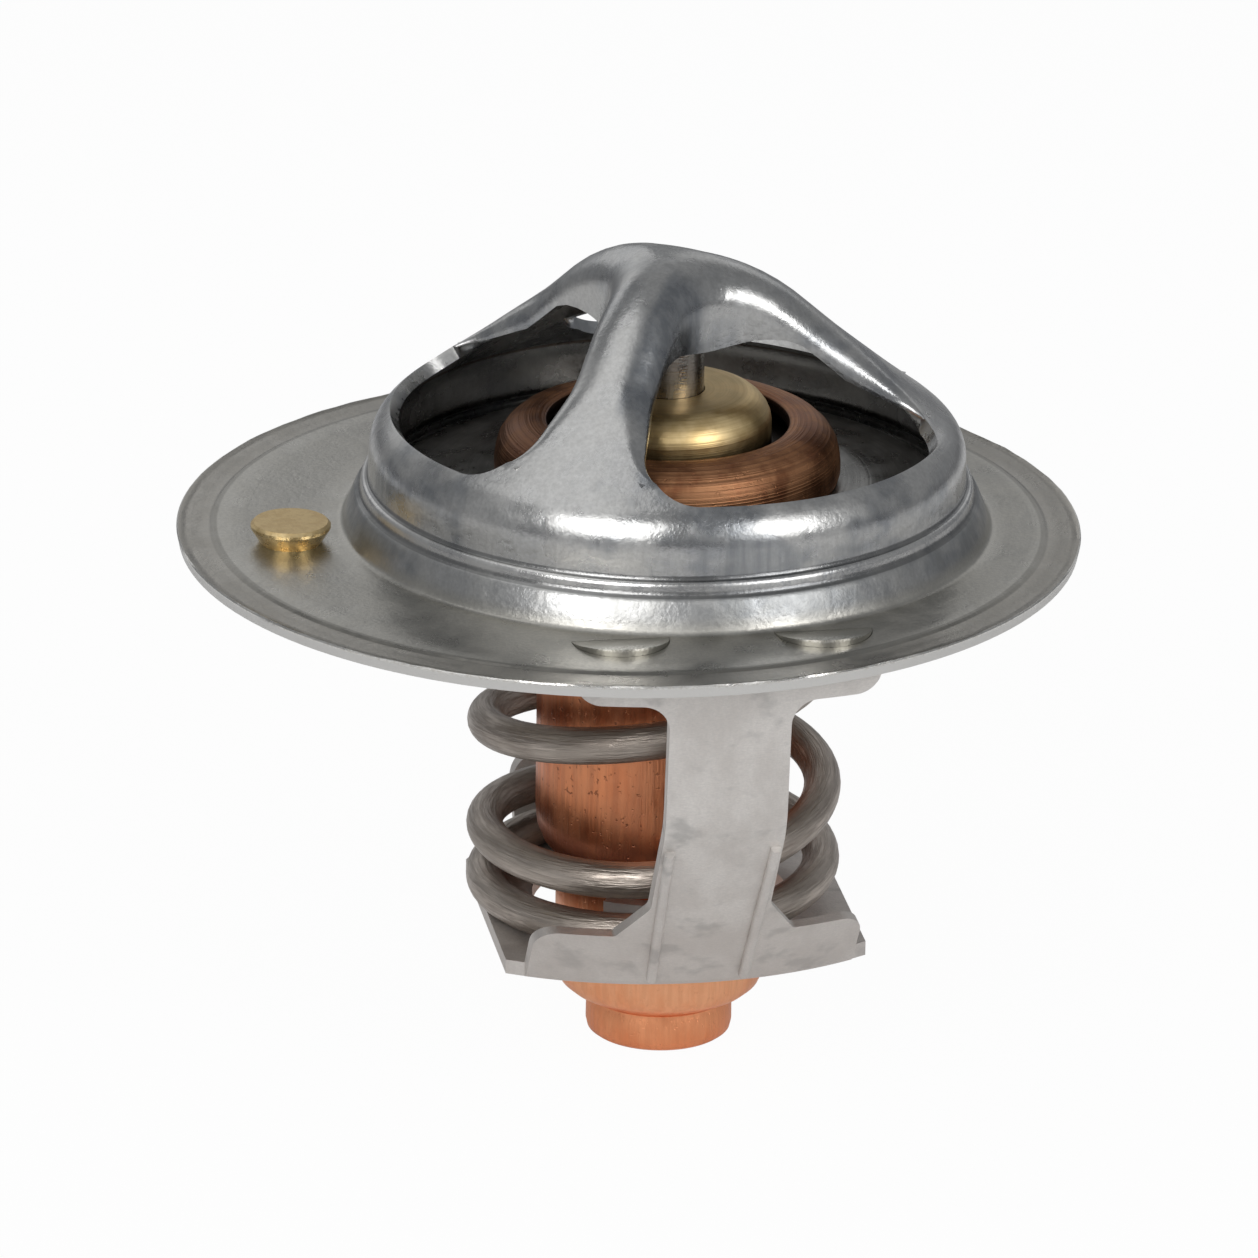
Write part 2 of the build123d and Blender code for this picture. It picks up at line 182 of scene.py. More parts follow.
# the ring's section: shoulder, wall, small bead, sloping ledge, plate, pressed band, rim
shoulder = [(14.15 + 3.0 * cos(radians(angle)), 4.272 + 3.0 * sin(radians(angle))) for angle in range(50, -1, -5)]
section = shoulder + [
    (17.17, 3.6), (17.19, 3.05), (17.22, 2.82), (17.29, 2.75), (17.38, 2.74), (17.48, 2.70), (17.56, 2.60),
    (17.60, 2.45), (17.62, 2.25), (17.66, 2.08), (17.74, 1.98), (17.83, 1.93), (17.93, 1.84), (18.02, 1.68),
    (18.18, 1.32), (18.33, 0.95), (18.46, 0.58), (18.56, 0.30), (18.65, 0.13), (18.78, 0.04), (ring_foot, 0.0)]
plate_edge = [(0.25, 0.0), (0.5, 0.0), (0.75, 0.0), (band_radius, 0.0), (23.94, -0.02), (24.06, -0.10), (24.14, -0.12),
              (24.8, -0.12), (25.4, -0.13), (25.72, -0.15), (25.86, -0.10), (25.94, -0.08), (flange_radius, -0.14)]
ring_ends = [end for rim, end, fullness in rows if end.length > ring_start - 0.001]
ring_lines = []
for end in ring_ends:
    angle = atan2(end.y, end.x)
    line = [(*polar(radius, angle), height) for radius, height in section]
    line += [(*polar(first_plate_row + step, angle), 0) for step in range(len(plate_edge))]
    ring_lines.append(line)

bridge = grid("bridge_crown", crown_lines)
ring = grid("bridge_ring", ring_lines)
bpy.ops.object.select_all(action="DESELECT")
ring.select_set(True)
bridge.select_set(True)
bpy.context.view_layer.objects.active = bridge
bpy.ops.object.join()
bridge.name = "flange_and_bridge"
bpy.ops.object.mode_set(mode="EDIT")
bpy.ops.mesh.select_all(action="SELECT")
bpy.ops.mesh.duplicate()
bpy.ops.transform.resize(value=(1, -1, 1), center_override=(0, 0, 0))
bpy.ops.mesh.select_all(action="SELECT")
for _ in range(2):
    bpy.ops.mesh.duplicate()
    bpy.ops.transform.rotate(value=radians(120), orient_axis="Z", center_override=(0, 0, 0))
bpy.ops.mesh.select_all(action="SELECT")
bpy.ops.mesh.remove_doubles(threshold=0.00001)
bpy.ops.mesh.dissolve_degenerate(threshold=0.000001)
bpy.ops.mesh.normals_make_consistent(inside=False)
bpy.ops.object.mode_set(mode="OBJECT")

# the plate's points go from the ring, round the valve axis, out to circles round the flange
centre = Vector((valve_offset, 0))
for vertex in bridge.data.vertices:
    spot = Vector(vertex.co[:2]) * 1000
    height = vertex.co.z * 1000
    angle = atan2(spot.y, spot.x) + strut_turn
    if spot.length < first_plate_row - 1:
        reach = spot.length
        spot = centre + polar(reach, angle)
        high = min(max((height - 4.3) / 2.2, 0), 1)
        arch = max(0, 1 - (reach / 16) ** 6)
        height -= max(0, spot.x) * (0.022 * high + 0.02 * arch)
    else:
        share = plate_edge[round(spot.length) - first_plate_row][0]
        height = 0
        if share < 1:
            spot = (centre + polar(ring_foot, angle)).lerp(polar(band_radius, angle), share)
        else:
            spot = polar(share, angle)
    vertex.co = Vector((*spot, height)) / 1000
upward = sum(face.normal.z * face.area for face in bridge.data.polygons)
if upward < 0:
    bpy.ops.object.mode_set(mode="EDIT")
    bpy.ops.mesh.select_all(action="SELECT")
    bpy.ops.mesh.flip_normals()
    bpy.ops.object.mode_set(mode="OBJECT")
wall = bridge.modifiers.new("sheet", "SOLIDIFY")
wall.thickness = sheet_thickness / 1000
wall.offset = -1
wall.use_even_offset = False
bpy.ops.object.select_all(action="DESELECT")
bridge.select_set(True)
bpy.context.view_layer.objects.active = bridge
bpy.ops.object.modifier_apply(modifier="sheet")

# the vent hole and the four half-round clinch holes are pierced through the plate
punches = []
punch_length = 0.004
bpy.ops.mesh.primitive_cylinder_add(vertices=48, radius=vent_hole_radius / 1000, depth=punch_length)
bpy.context.object.data.transform(Matrix.Translation((-vent_reach / 1000, 0, 0)))
punches.append(bpy.context.object)
for turn in (stirrup_turn, 180 + stirrup_turn):
    for step in (-clinch_half_spacing / 1000, clinch_half_spacing / 1000):
        bpy.ops.mesh.primitive_cylinder_add(vertices=64, radius=clinch_hole_radius / 1000, depth=punch_length)
        punch = bpy.context.object
        for vertex in punch.data.vertices:
            vertex.co.y = min(vertex.co.y, clinch_gap / 1000)
        place = Matrix.Rotation(radians(turn), 4, "Z") @ Matrix.Translation((step, -clinch_reach / 1000, 0))
        punch.data.transform(Matrix.Translation((valve_offset / 1000, 0, 0)) @ place)
        punches.append(punch)
bpy.ops.object.select_all(action="DESELECT")
for punch in punches:
    punch.select_set(True)
bpy.context.view_layer.objects.active = punches[0]
bpy.ops.object.join()
pierced = bridge.modifiers.new("pierced", "BOOLEAN")
pierced.operation = "DIFFERENCE"
pierced.object = punches[0]
bpy.ops.object.select_all(action="DESELECT")
bridge.select_set(True)
bpy.context.view_layer.objects.active = bridge
bpy.ops.object.modifier_apply(modifier="pierced")
bpy.data.objects.remove(punches[0])
# the pressed band and the sheared rim, with its burrs above and its edge drawn in below
burrs = random.Random(5)
for vertex in bridge.data.vertices:
    spot = Vector(vertex.co[:2])
    reach = spot.length * 1000
    if reach > band_radius + 0.04 and vertex.co.z > -0.0004:
        vertex.co.z += min((abs(radius - reach), height) for radius, height in plate_edge)[1] / 1000
        if 25.8 < reach < 25.99:
            vertex.co.z += burrs.uniform(-0.00002, 0.00005)
    elif reach > rim_start:
        vertex.co = (*(spot * (1 - 0.007 * (reach - rim_start))), vertex.co.z + 0.00003)
bpy.ops.object.shade_smooth_by_angle(angle=radians(42))
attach(bridge, "frame")
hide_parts("flange_bridge")


class Value:
    """One output of a finish's nodes, so that patterns add up like numbers."""

    def __init__(self, finish, socket):
        self.finish = finish
        self.socket = socket

    def math(self, operation, first, second):
        return self.finish.node("ShaderNodeMath", {"operation": operation}, {0: first, 1: second})

    def __add__(self, other):
        return self.math("ADD", self, other)

    def __radd__(self, other):
        return self.math("ADD", other, self)

    def __sub__(self, other):
        return self.math("SUBTRACT", self, other)

    def __rsub__(self, other):
        return self.math("SUBTRACT", other, self)

    def __mul__(self, other):
        return self.math("MULTIPLY", self, other)

    def __rmul__(self, other):
        return self.math("MULTIPLY", other, self)

    def __pow__(self, other):
        return self.math("POWER", self, other)


class Finish:
    """A procedural finish: colour, roughness and fine relief of one metal, drawn with nodes."""

    def __init__(self, name, **constants):
        self.material = bpy.data.materials.new(name)
        self.material.use_nodes = True
        self.tree = self.material.node_tree
        self.shader = self.tree.nodes["Principled BSDF"]
        self.set(**constants)

    def node(self, kind, settings=None, sockets=None, output=0):
        made = self.tree.nodes.new(kind)
        for setting, value in (settings or {}).items():
            setattr(made, setting, value)
        for socket, value in (sockets or {}).items():
            self.plug(made.inputs[socket], value)
        return Value(self, made.outputs[output])

    def plug(self, socket, value):
        if isinstance(value, Value):
            self.tree.links.new(value.socket, socket)
        elif isinstance(value, tuple) and socket.type == "RGBA":
            socket.default_value = (*value, 1)
        else:
            socket.default_value = value

    def set(self, **sockets):
        for socket, value in sockets.items():
            self.plug(self.shader.inputs[socket.replace("_", " ")], value)

    def millimetres(self, centre=(0, 0)):
        """Place on the object in millimetres from a centre in plan: x, y, z and the radius."""
        spot = self.node("ShaderNodeTexCoord", output="Object")
        parts = [self.node("ShaderNodeSeparateXYZ", {}, {0: spot}, axis) * 1000 for axis in range(3)]
        x, y, z = parts[0] - centre[0], parts[1] - centre[1], parts[2]
        return x, y, z, (x * x + y * y) ** 0.5

    def place(self, stretch=(1, 1, 1), turn=(0, 0, 0), centre=(0, 0, 0)):
        """Place on the object, drawn out along the axes, for a pattern with a grain."""
        spot = self.node("ShaderNodeTexCoord", output="Object")
        return self.node("ShaderNodeMapping", {"vector_type": "TEXTURE"}, {
            "Vector": spot, "Location": [part / 1000 for part in centre],
            "Rotation": turn, "Scale": [part / 1000 for part in stretch]})

    def join(self, x, y, z):
        return self.node("ShaderNodeCombineXYZ", {}, {0: x, 1: y, 2: z})

    def rise(self, value, low, high):
        """Smooth step from 0 at low to 1 at high."""
        return self.node("ShaderNodeMapRange", {"interpolation_type": "SMOOTHSTEP"}, {
            "Value": value, "From Min": low, "From Max": high})

    def band(self, value, low, high, soft):
        return self.rise(value, low - soft, low) * (1 - self.rise(value, high, high + soft))

    def noise(self, spot, size, detail=3.0, low=0.35, high=0.65):
        """Blotches of about the given size in millimetres, stretched to 0..1."""
        raw = self.node("ShaderNodeTexNoise", {}, {
            "Vector": spot, "Scale": 1 / size, "Detail": detail, "Roughness": 0.6})
        return self.rise(raw, low, high)

    def blend(self, factor, first, second, mode="MIX"):
        return self.node("ShaderNodeMix", {"data_type": "RGBA", "blend_type": mode}, {
            "Factor": factor, 6: first, 7: second}, output=2)

    def relief(self, height, depth):
        self.set(Normal=self.node("ShaderNodeBump", {}, {
            "Height": height, "Strength": 1.0, "Distance": depth / 1000}))

    def dress(self, *nodes):
        for node in nodes:
            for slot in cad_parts[node].material_slots:
                slot.material = self.material


valve_axis = (valve_offset, 0)
sheet = Finish("stamped_sheet", Metallic=1.0)
x, y, z, from_valve = sheet.millimetres(valve_axis)
from_middle = sheet.millimetres()[3]
blotches = sheet.noise(sheet.place(), 3.2, 4.0)
bruises = sheet.noise(sheet.place((1.6, 1.6, 1.0)), 4.2, 3.0, 0.46, 0.62)
grain = sheet.noise(sheet.place(), 0.22, 2.0, 0.3, 0.7)
drawn = sheet.noise(sheet.join(x, y, z * 0.12), 0.5, 3.0)
rings = sheet.noise(sheet.join(from_valve, 0.0, 0.0), 0.35, 2.0)
raised = sheet.rise(z, 0.15, 1.0)
colour = sheet.blend(blotches, (0.50, 0.50, 0.495), (0.61, 0.605, 0.59))
strut_angle = strut_turn - 2 * pi / 3
down_strut = x * cos(strut_angle) + y * sin(strut_angle)
across_strut = y * cos(strut_angle) - x * sin(strut_angle)
polished = sheet.band(down_strut, 7.5, 17.0, 1.5) * sheet.band(across_strut, -6.0, 0.2, 0.9)
# painted shade: a dark band along the right flank of the front strut, from the hub down
strut_flank_shade = sheet.band(down_strut, 3.0, 10.5, 1.5) * sheet.band(across_strut, 1.3, 3.0, 0.6)
bruises_and_flank_shade = bruises * raised * (0.7 - 0.35 * sheet.rise(z, 10.0, 14.0)) * (1 - polished)
# the painted flank shade is added to the random bruises
bruises_and_flank_shade = bruises_and_flank_shade + strut_flank_shade * (0.8 - bruises_and_flank_shade)
colour = sheet.blend(bruises_and_flank_shade, colour, (0.21, 0.23, 0.26))
colour = sheet.blend(drawn * raised * 0.22, colour, (0.75, 0.75, 0.74))
plate = sheet.blend(blotches, (0.47, 0.455, 0.415), (0.58, 0.56, 0.51))
outer_band = sheet.rise(from_middle, 23.9, 24.25)
plate = sheet.blend(outer_band * 0.4, plate, (0.30, 0.27, 0.23))
ring_mark = sheet.band(from_middle, 23.75, 24.05, 0.15)
plate = sheet.blend(ring_mark * 0.5, plate, (0.16, 0.15, 0.13))
colour = sheet.blend(1 - raised, colour, plate)
# painted shade: the inside of the ring and the underside of the bridge below the windows are darkened
ring_inside_shade = (1 - sheet.rise(from_valve, 16.5, 16.62)) * (1 - sheet.rise(z, 4.7, 5.6))
colour = sheet.blend(ring_inside_shade * (0.72 - 0.2 * blotches), colour, (0.09, 0.075, 0.06))
ledge = sheet.band(from_valve, 17.75, 18.7, 0.1)
colour = sheet.blend(ledge * blotches * 0.45, colour, (0.30, 0.30, 0.285))
# painted shade: dark lines in the creases on either side of the small bead
crease_shade = sheet.band(from_valve, 17.21, 17.36, 0.06) * sheet.band(z, 2.6, 2.95, 0.1)
crease_shade = crease_shade + sheet.band(from_valve, 17.62, 17.84, 0.06) * sheet.band(z, 1.8, 2.2, 0.1)
colour = sheet.blend(crease_shade * 0.6, colour, (0.12, 0.12, 0.12))
# painted highlight: a bright speckled line along the small bead
painted_bead_highlight = sheet.band(from_valve, 17.42, 17.6, 0.06) * sheet.band(z, 2.2, 2.8, 0.1) * (0.2 + 0.6 * grain)
colour = sheet.blend(painted_bead_highlight, colour, (0.85, 0.84, 0.82))
sheared = sheet.rise(from_middle, 25.86, 25.97) * sheet.rise(z, -0.42, -0.2) * (0.35 + 0.65 * grain)
colour = sheet.blend(sheared, colour, (0.9, 0.89, 0.86))
colour = sheet.blend(grain * 0.25, colour, (0.30, 0.30, 0.29))
upwards = sheet.node("ShaderNodeSeparateXYZ", {}, {0: sheet.node("ShaderNodeTexCoord", output="Normal")}, 2)
# painted shade and a painted brown reflection of the copper on the window's side-facing cut faces
cut_face_shade = sheet.band(from_valve, 15.9, 16.0, 0.05) * sheet.rise(z, 5.0, 5.4) * (1 - sheet.rise(upwards, 0.1, 0.4))
colour = sheet.blend(cut_face_shade * 0.75, colour, (0.27, 0.20, 0.16))
edge = sheet.rise(from_middle, 25.3, 25.55) * (1 - sheet.rise(z, -0.28, -0.19))
colour = sheet.blend(edge, colour, (0.62, 0.61, 0.59))
sheet.set(
    Base_Color=colour, Metallic=1 - 0.55 * edge,
    Roughness=0.22 + 0.13 * blotches + 0.05 * (1 - raised) - 0.08 * sheared + 0.2 * edge + 0.07 * ledge)
sheet.relief(grain * 0.5 + rings * 0.2 + blotches * 2.0, 0.008)
bridge.data.materials.clear()
bridge.data.materials.append(sheet.material)
sheet.dress("flange_bridge")

# Stirrup: one strip of tinned steel, 0.85 mm thick, folded into two feet, two legs with
# pressed ribs, and the base. Four studs of its feet are clinched up through the flange.
# Its face is matt and light.
tinned = Finish("tinned_strip", Metallic=0.82)
z = tinned.millimetres()[2]
blotches = tinned.noise(tinned.place((1, 1, 1.8)), 2.6, 4.0)
grain = tinned.noise(tinned.place((1, 1, 1)), 0.15, 2.0, 0.3, 0.7)
smudges = tinned.noise(tinned.place((1.4, 1, 1), centre=(3, 0, 1)), 2.2, 3.0, 0.54, 0.72)
# painted shade: the legs get darker towards the bottom
low = 1 - tinned.rise(z, -21.0, -15.0)
rolled = tinned.noise(tinned.place((1, 1, 0.09)), 0.28, 2.0)
colour = tinned.blend(blotches, (0.68, 0.64, 0.605), (0.79, 0.755, 0.72))
colour = tinned.blend(smudges * 0.5, colour, (0.34, 0.33, 0.32))
colour = tinned.blend(rolled * 0.18, colour, (0.42, 0.41, 0.40))
colour = tinned.blend(grain * 0.15, colour, (0.45, 0.44, 0.43))
# painted shade towards the bottom of the legs
colour = tinned.blend(low * 0.3, colour, (0.47, 0.42, 0.385))
studs = tinned.rise(z, -0.4, -0.3)
colour = tinned.blend(studs, colour, tinned.blend(blotches, (0.36, 0.35, 0.315), (0.47, 0.455, 0.41)))
lips = tinned.rise(z, 0.22, 0.38)
colour = tinned.blend(lips * grain, colour, (0.84, 0.83, 0.80))
tinned.set(Base_Color=colour, Metallic=0.82 + 0.18 * studs, Roughness=0.46 + 0.1 * blotches - 0.17 * studs)
tinned.relief(grain + smudges * 1.5 + blotches * 2.0, 0.006)
tinned.dress("stirrup")

# Main spring: drawn steel wire, 2.1 mm thick, in four and a half turns, each with its own
# rise, closed against the valve disc at the top. The die leaves lines along the wire, and
# tempering leaves it warm brown-grey.
wire_radius = 1.07
coil_radius = 9.8
coil_shift = 0.5
start_angle = 78.5
coil_bottom = -21.945
coil_top = 0.795
rises = (0.03, 0.38, 0.92, 0.97, 0.93, 0.40, 2.30, 1.85, 1.85,
         2.55, 2.45, 1.75, 2.40, 1.25, 0.90, 0.60, 0.50)
levels = [coil_bottom]
for rise in rises:
    levels.append(levels[-1] + rise)
levels.append(coil_top)
quarter_steps = 18
around = 24


def coil_level(quarter):
    """Height of the wire's centre, so many quarter turns from its lower end."""
    last = len(levels) - 1
    index = min(floor(quarter), last - 1)
    part = quarter - index
    low, high = levels[index], levels[index + 1]
    entry = (high - levels[max(index - 1, 0)]) / 2
    leave = (levels[min(index + 2, last)] - low) / 2
    bulge = part * (1 - part) * ((1 - part) * entry - part * leave)
    return low + part * part * (3 - 2 * part) * (high - low) + bulge


coil_centre = Vector(((valve_axis[0] - coil_shift) / 1000, 0, 0))
outwards = Vector((cos(radians(start_angle)), sin(radians(start_angle)), 0))
bpy.ops.object.select_all(action="DESELECT")
bpy.ops.mesh.primitive_circle_add(
    vertices=around, radius=wire_radius / 1000, fill_type="NOTHING",
    location=coil_centre + outwards * coil_radius / 1000,
    rotation=(pi / 2, 0, radians(start_angle)))
spring = bpy.context.object
spring.name = "spring_wire"
bpy.ops.object.transform_apply(location=True, rotation=True, scale=True)
quarters = len(levels) - 1
bpy.ops.object.mode_set(mode="EDIT")
bpy.ops.mesh.select_all(action="SELECT")
bpy.ops.mesh.spin(
    steps=quarters * quarter_steps, angle=radians(90 * quarters),
    center=coil_centre, axis=(0, 0, -1))
bpy.ops.object.mode_set(mode="OBJECT")
lengthwise = spring.data.attributes.new("along_wire", "FLOAT_VECTOR", "POINT")
for index, vertex in enumerate(spring.data.vertices):
    step = index // around
    quarter = step / quarter_steps
    slope = (coil_level(min(quarter + 0.02, quarters)) - coil_level(max(quarter - 0.02, 0))) / 0.04
    lean = slope / (coil_radius * pi / 2)
    arm = Vector((vertex.co.x, vertex.co.y, 0)) - coil_centre
    narrowing = 0.38 * min(max((quarter - 10.5) / 2, 0), 1)
    arm -= arm.normalized() * narrowing / 1000
    height = vertex.co.z
    tangent = Vector((-arm.y, arm.x, 0)).normalized()
    vertex.co = coil_centre + arm - tangent * height * lean + Vector((0, 0, height + coil_level(quarter) / 1000))
    turn = tau * (index % around) / around
    lengthwise.data[index].vector = (
        wire_radius * cos(turn), wire_radius * sin(turn), quarter * coil_radius * pi / 2)
bpy.ops.object.mode_set(mode="EDIT")
bpy.ops.mesh.select_all(action="DESELECT")
bpy.ops.mesh.select_mode(type="EDGE")
bpy.ops.mesh.select_non_manifold(extend=False)
bpy.ops.mesh.edge_face_add()
bpy.ops.mesh.select_all(action="SELECT")
bpy.ops.mesh.normals_make_consistent(inside=False)
bpy.ops.object.mode_set(mode="OBJECT")
bpy.ops.object.shade_smooth_by_angle(angle=radians(50))
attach(spring, "frame")
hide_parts("main_spring")
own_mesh(spring)

drawn_wire = Finish("drawn_wire", Metallic=0.9)
along = drawn_wire.node("ShaderNodeAttribute", {"attribute_name": "along_wire"}, output="Vector")
streaks = drawn_wire.node("ShaderNodeMapping", {"vector_type": "TEXTURE"}, {"Vector": along, "Scale": [1, 1, 12]})
die_lines = drawn_wire.noise(streaks, 0.16, 3.0)
broad = drawn_wire.noise(streaks, 0.7, 2.0)
stain = drawn_wire.noise(drawn_wire.place(), 4.0, 3.0)
colour = drawn_wire.blend(stain, (0.35, 0.30, 0.26), (0.48, 0.42, 0.37))
colour = drawn_wire.blend(die_lines * 0.4, colour, (0.16, 0.135, 0.115))
colour = drawn_wire.blend(broad * 0.3, colour, (0.58, 0.52, 0.46))
drawn_wire.set(Base_Color=colour, Roughness=0.31 + 0.12 * die_lines)
drawn_wire.relief(die_lines, 0.02)
spring.data.materials.clear()
spring.data.materials.append(drawn_wire.material)

# Piston: a ground steel pin, 4.1 mm thick, its end held by the hub, with fine grinding
# lines and worn patches.
ground = Finish("ground_pin", Metallic=1.0)
x, y, z = ground.millimetres(valve_axis)[:3]
lines = ground.noise(ground.join(x * 0.2, y * 0.2, z), 0.12, 2.0)
worn = ground.noise(ground.place((1, 1, 2.5)), 0.9, 3.0)
colour = ground.blend(worn, (0.40, 0.375, 0.34), (0.52, 0.49, 0.45))
colour = ground.blend(lines * 0.35, colour, (0.28, 0.26, 0.24))
ground.set(Base_Color=colour, Roughness=0.24 + 0.1 * worn)
ground.relief(lines, 0.006)
ground.dress("piston_pin")

# Wax cup: one deep-drawn copper shell. Its mouth is rolled over the guide in a lathe, and
# is oxidised brown with fine turning lines; painted shade darkens its left side and the gap
# inside it. The body is orange with upright drawing streaks, red-brown at the shoulder, and
# clean at the nose, where a painted highlight brightens it.
def turned(name, outline):
    """A piece spun round the valve axis from a closed outline of (radius, height) in mm."""
    bpy.ops.object.select_all(action="DESELECT")
    bpy.ops.mesh.primitive_circle_add(vertices=len(outline), radius=1, fill_type="NOTHING")
    made = bpy.context.object
    made.name = name
    for vertex, (radius, height) in zip(made.data.vertices, outline):
        vertex.co = Vector((valve_offset + radius, 0, height)) / 1000
    bpy.ops.object.mode_set(mode="EDIT")
    bpy.ops.mesh.select_all(action="SELECT")
    bpy.ops.mesh.spin(steps=144, angle=tau, center=(valve_offset / 1000, 0, 0), axis=(0, 0, 1))
    bpy.ops.mesh.select_all(action="SELECT")
    bpy.ops.mesh.remove_doubles(threshold=0.000002)
    bpy.ops.mesh.normals_make_consistent(inside=False)
    bpy.ops.object.mode_set(mode="OBJECT")
    bpy.ops.object.shade_smooth_by_angle(angle=radians(40))
    made.data.materials.clear()
    return made


cup = turned("copper_cup", [
    (6.95, 5.95), (7.0, 6.15), (7.25, 6.28), (7.8, 6.28), (8.4, 6.18), (8.95, 5.92), (9.4, 5.5), (9.72, 5.0),
    (9.88, 4.4), (9.95, 3.8), (9.95, 3.3), (9.85, 2.95), (9.6, 2.8), (8.2, 2.75), (7.75, 2.7), (7.45, 2.45),
    (7.35, 2.1), (7.35, -5.0), (7.35, -12.0), (7.35, -17.6), (7.25, -18.5), (6.95, -19.3), (6.5, -19.9),
    (6.2, -20.4), (6.12, -21.0), (6.12, -24.0), (6.14, -27.1), (6.07, -27.7), (5.85, -28.2), (5.4, -28.6),
    (4.8, -28.9), (4.35, -29.1), (4.14, -29.3), (4.16, -29.5), (4.26, -29.8), (4.27, -30.9), (4.18, -31.3),
    (3.95, -31.48), (3.4, -31.5), (0, -31.5), (0, -30.7), (3.4, -30.7), (3.4, -28.7), (5.2, -27.0),
    (5.3, -20.6), (6.5, -19.0), (6.55, 2.0), (6.6, 3.55), (9.0, 3.55), (9.1, 4.5), (8.6, 5.2), (7.8, 5.5),
    (6.95, 5.5)])
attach(cup, "valve")
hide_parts("wax_cup")

copper = Finish("drawn_copper", Metallic=1.0)
x, y, z, radius = copper.millimetres(valve_axis)
streaks = copper.noise(copper.join(x, y, z * 0.06), 0.3, 3.0)
wide_streaks = copper.noise(copper.join(x, y, z * 0.1), 1.4, 2.0)
stains = copper.noise(copper.place((1, 1, 1.6)), 1.8, 4.0)
pits = copper.noise(copper.place(), 0.35, 2.0, 0.62, 0.72)
lathe = copper.noise(copper.join(radius, 0.0, z), 0.16, 2.0)
head = copper.rise(z, 1.2, 2.8)
shoulder = copper.band(z, -20.9, -18.2, 1.2)
nose = 1 - copper.rise(z, -22.5, -21.0)
colour = copper.blend(wide_streaks, (0.58, 0.19, 0.085), (0.77, 0.29, 0.135))
colour = copper.blend(streaks * 0.45, colour, (0.40, 0.155, 0.085))
colour = copper.blend(stains * 0.3, colour, (0.86, 0.42, 0.23))
colour = copper.blend(pits * 0.6, colour, (0.22, 0.08, 0.045))
colour = copper.blend(shoulder * (0.45 + 0.3 * stains), colour, (0.36, 0.11, 0.065))
tip = 1 - copper.rise(z, -29.4, -28.8)
# clean copper on the lower body, its colour brightened further as a painted highlight
clean_copper_and_highlight = copper.blend(stains, (0.93, 0.41, 0.21), (0.97, 0.50, 0.28))
clean_copper_and_highlight = copper.blend(tip * 0.7, clean_copper_and_highlight, copper.blend(stains, (0.80, 0.28, 0.125), (0.90, 0.36, 0.17)))
clean_copper_and_highlight = copper.blend(streaks * 0.2, clean_copper_and_highlight, (0.60, 0.24, 0.12))
colour = copper.blend(nose, colour, clean_copper_and_highlight)
rolled = copper.blend(stains, (0.30, 0.125, 0.06), (0.50, 0.25, 0.125))
rolled = copper.blend(lathe * 0.45, rolled, (0.19, 0.09, 0.05))
# painted shade: the rolled mouth is darker on its left side, under the front strut and hub
rolled = copper.blend((1 - copper.rise(x, -8.5, -3.5)) * 0.6, rolled, (0.13, 0.062, 0.036))
colour = copper.blend(head, colour, rolled)
# painted shade: the inner lip of the mouth, in the gap round the guide, is almost black
mouth_gap_shade = copper.rise(z, 3.8, 4.4) * (1 - copper.rise(radius, 6.96, 7.1))
colour = copper.blend(mouth_gap_shade, colour, (0.03, 0.015, 0.01))
copper.set(Base_Color=colour, Roughness=0.33 + 0.12 * stains + 0.06 * head)
copper.relief(streaks * (1 - head) + lathe * head * 1.6 - pits * 1.5, 0.012)
cup.data.materials.append(copper.material)

# Guide: turned brass. Its top is faced in a lathe and has dulled to brown, its bevel is
# bright. Painted shade darkens its upright side and turns the part sunk in the cup's mouth almost black.
guide = turned("brass_guide", [
    (2.1, 8.12), (3.9, 8.1), (4.5, 8.02), (5.0, 7.82), (5.4, 7.5), (5.7, 7.1), (5.88, 6.7), (5.95, 6.3),
    (5.95, 5.5), (5.97, 4.9), (8.3, 4.9), (8.9, 4.5), (8.95, 4.2), (2.1, 4.15)])
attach(guide, "valve")
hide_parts("guide_sleeve")
brass = Finish("turned_brass", Metallic=1.0)
z, radius = brass.millimetres(valve_axis)[2:]
lathe = brass.noise(brass.join(radius, 0.0, z), 0.14, 2.0)
dull = brass.noise(brass.place(), 1.6, 4.0)
top = brass.rise(z, 7.95, 8.06)
# painted shade: the lower, upright side of the guide is darkened
side_shade = 1 - brass.rise(z, 6.2, 6.9)
# painted shade: the part of the guide sunk in the cup's mouth is almost black
sunk_shade = 1 - brass.rise(z, 5.1, 5.9)
colour = brass.blend(dull, (0.76, 0.56, 0.27), (0.90, 0.71, 0.39))
colour = brass.blend(lathe * 0.3, colour, (0.50, 0.33, 0.14))
colour = brass.blend(top * (0.25 + 0.3 * dull), colour, (0.40, 0.30, 0.16))
colour = brass.blend(side_shade * 0.5, colour, (0.32, 0.19, 0.07))
colour = brass.blend(sunk_shade, colour, (0.02, 0.012, 0.006))
brass.set(Base_Color=colour, Roughness=0.36 + 0.1 * dull + 0.06 * top)
brass.relief(lathe + dull, 0.006)
guide.data.materials.append(brass.material)

